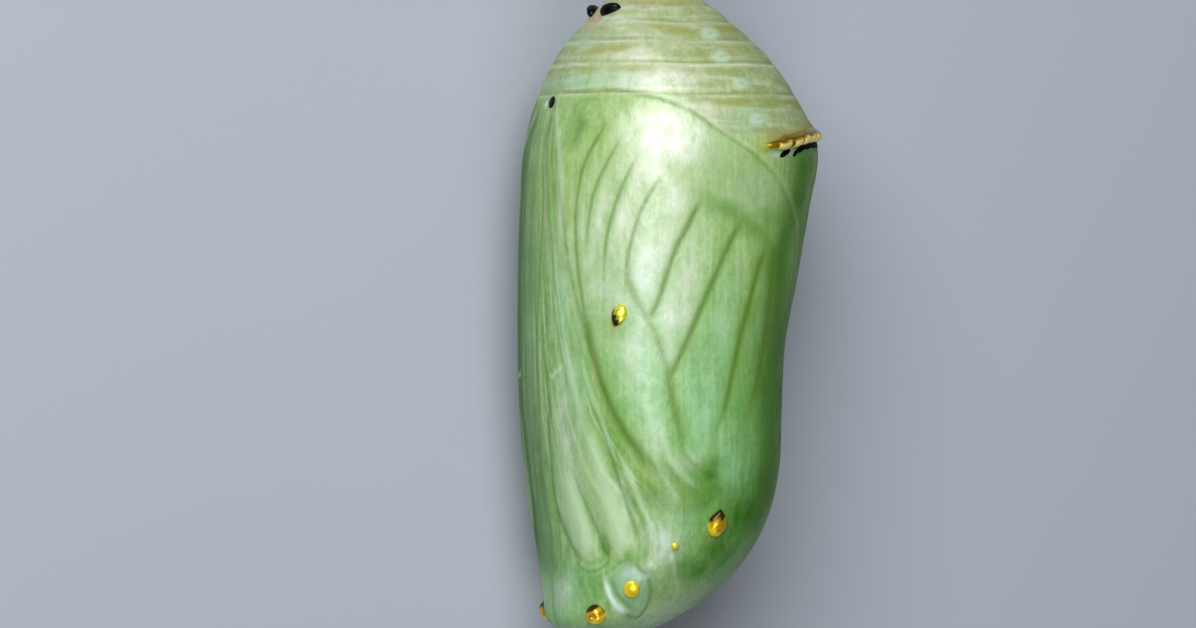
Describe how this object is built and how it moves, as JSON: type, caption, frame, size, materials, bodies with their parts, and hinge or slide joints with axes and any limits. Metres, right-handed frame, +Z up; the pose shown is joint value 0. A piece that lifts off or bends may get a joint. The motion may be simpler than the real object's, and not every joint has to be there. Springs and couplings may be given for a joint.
{
  "type": "butterfly chrysalis",
  "caption": "Smooth jade-green butterfly chrysalis with wings and legs in relief, a gold-beaded ridge, gold studs and a black stalk, lying on its side.",
  "frame": {"origin": "under the middle of the part's box, on the surface that it lies on", "axes": "+X towards the animal's back, +Y towards the tail and its stalk, +Z up, which is the animal's right side"},
  "size_m": [0.0112, 0.026, 0.0106],
  "materials": {
    "pupal_skin": "waxy translucent jade-green skin, smooth and softly shiny, with metallic gold studs and glossy black knobs and stalk"
  },
  "bodies": {
    "root": {"chrysalis": "pupal_skin"}
  },
  "joints": []
}
